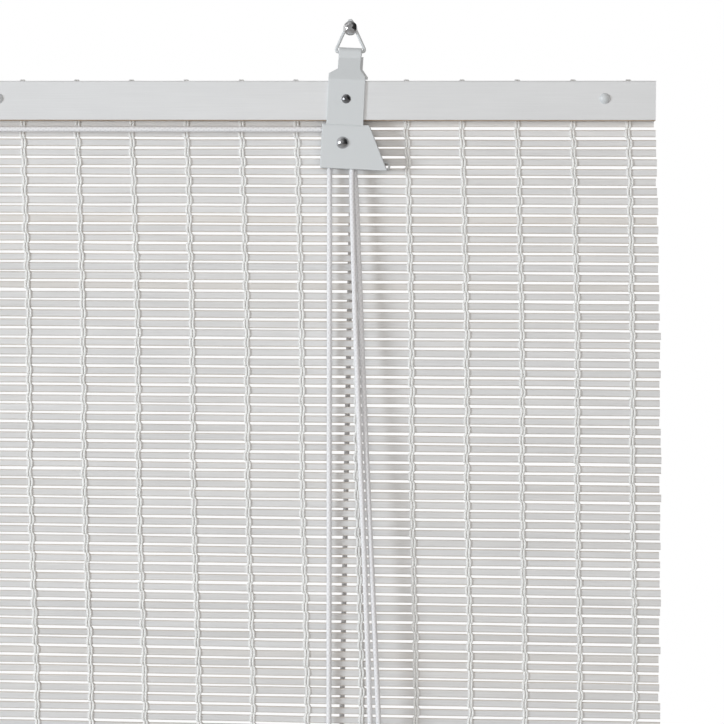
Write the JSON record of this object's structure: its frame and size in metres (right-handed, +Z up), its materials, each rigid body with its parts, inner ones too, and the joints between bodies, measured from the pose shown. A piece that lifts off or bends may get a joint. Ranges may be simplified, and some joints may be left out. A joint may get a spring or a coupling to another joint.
{
  "type": "bamboo roll up blind",
  "caption": "White painted bamboo slat blind, part rolled up behind its foot, with a head rail, cord lock, guide pulley, lift and pull cords, hung by wire rings on wall screws.",
  "frame": {"origin": "on the wall, midway between the axes of the two wall screws", "axes": "+X to the right as seen from the room, +Y into the wall along the screws, +Z up"},
  "size_m": [0.6, 0.0638, 0.6703],
  "materials": {
    "painted_bamboo": "matte white paint",
    "warp_thread": "twisted cotton",
    "painted_sheet": "satin white paint",
    "ring_wire": "satin white paint",
    "bright_steel": "polished",
    "plain_steel": "satin",
    "cord": "braided",
    "rod_wood": "raw",
    "pull_plastic": "satin"
  },
  "bodies": {
    "hangers": {"wall_screw_right": "bright_steel", "wall_screw_left": "bright_steel", "hanger_ring_right": "ring_wire", "hanger_ring_left": "ring_wire"},
    "blind": {"front_batten": "painted_bamboo", "back_batten": "painted_bamboo", "rail_rivets": "painted_sheet", "slat_mat": "painted_bamboo", "warp_threads": "warp_thread", "lock_bracket": "painted_sheet", "lock_screw": "bright_steel", "lock_pin": "bright_steel", "guide_bracket": "painted_sheet", "guide_screw": "bright_steel", "guide_pin": "bright_steel", "lift_cord_right_front": "cord", "lift_cord_left_front": "cord", "lift_cord_right_back": "cord", "lift_cord_left_back": "cord", "lock_turn_cord": "cord", "cross_cord": "cord", "cord_staple_right": "plain_steel", "cord_staple_left": "plain_steel", "pull_cord_1": "cord", "pull_cord_2": "cord"},
    "roll": {"rolled_mat": "painted_bamboo", "bottom_rod": "rod_wood", "lift_loop_right": "cord", "lift_loop_left": "cord"},
    "lock_pulley": {"lock_pulley": "plain_steel"},
    "guide_pulley": {"guide_pulley": "plain_steel"},
    "jam_roller": {"jam_roller": "plain_steel"},
    "cord_pull": {"cord_pull": "pull_plastic"}
  },
  "joints": [
    {"name": "swing", "type": "hinge", "parent": "hangers", "child": "blind", "pos_m": [0, -0.0149, -0.0106], "axis": [-1, 0, 0], "range_deg": [0, 60]},
    {"name": "roll_lift", "type": "slide", "parent": "blind", "child": "roll", "axis": [0, 0, 1], "range_m": [0, 0.46], "deforming": ["slat_mat", "warp_threads", "lift_cord_right_front", "lift_cord_left_front", "lift_cord_right_back", "lift_cord_left_back"]},
    {"name": "cord_draw", "type": "slide", "parent": "blind", "child": "cord_pull", "axis": [0, 0, -1], "range_m": [0, 0.92], "deforming": ["pull_cord_1", "pull_cord_2"]},
    {"name": "lock_pulley_spin", "type": "hinge", "parent": "blind", "child": "lock_pulley", "pos_m": [0.15809, -0.01655, -0.05209], "axis": [0, 1, 0], "continuous": true},
    {"name": "guide_pulley_spin", "type": "hinge", "parent": "blind", "child": "guide_pulley", "pos_m": [-0.1613, -0.01655, -0.05209], "axis": [0, 1, 0], "continuous": true},
    {"name": "jam_roller_slide", "type": "slide", "parent": "blind", "child": "jam_roller", "axis": [0.3701, 0, -0.929], "range_m": [0, 0.0084]}
  ],
  "couplings": [
    {"joint": "cord_draw", "follows": "roll_lift", "ratio": 2},
    {"joint": "lock_pulley_spin", "follows": "roll_lift", "rad_per_m": 322.58},
    {"joint": "guide_pulley_spin", "follows": "roll_lift", "rad_per_m": 322.58}
  ]
}
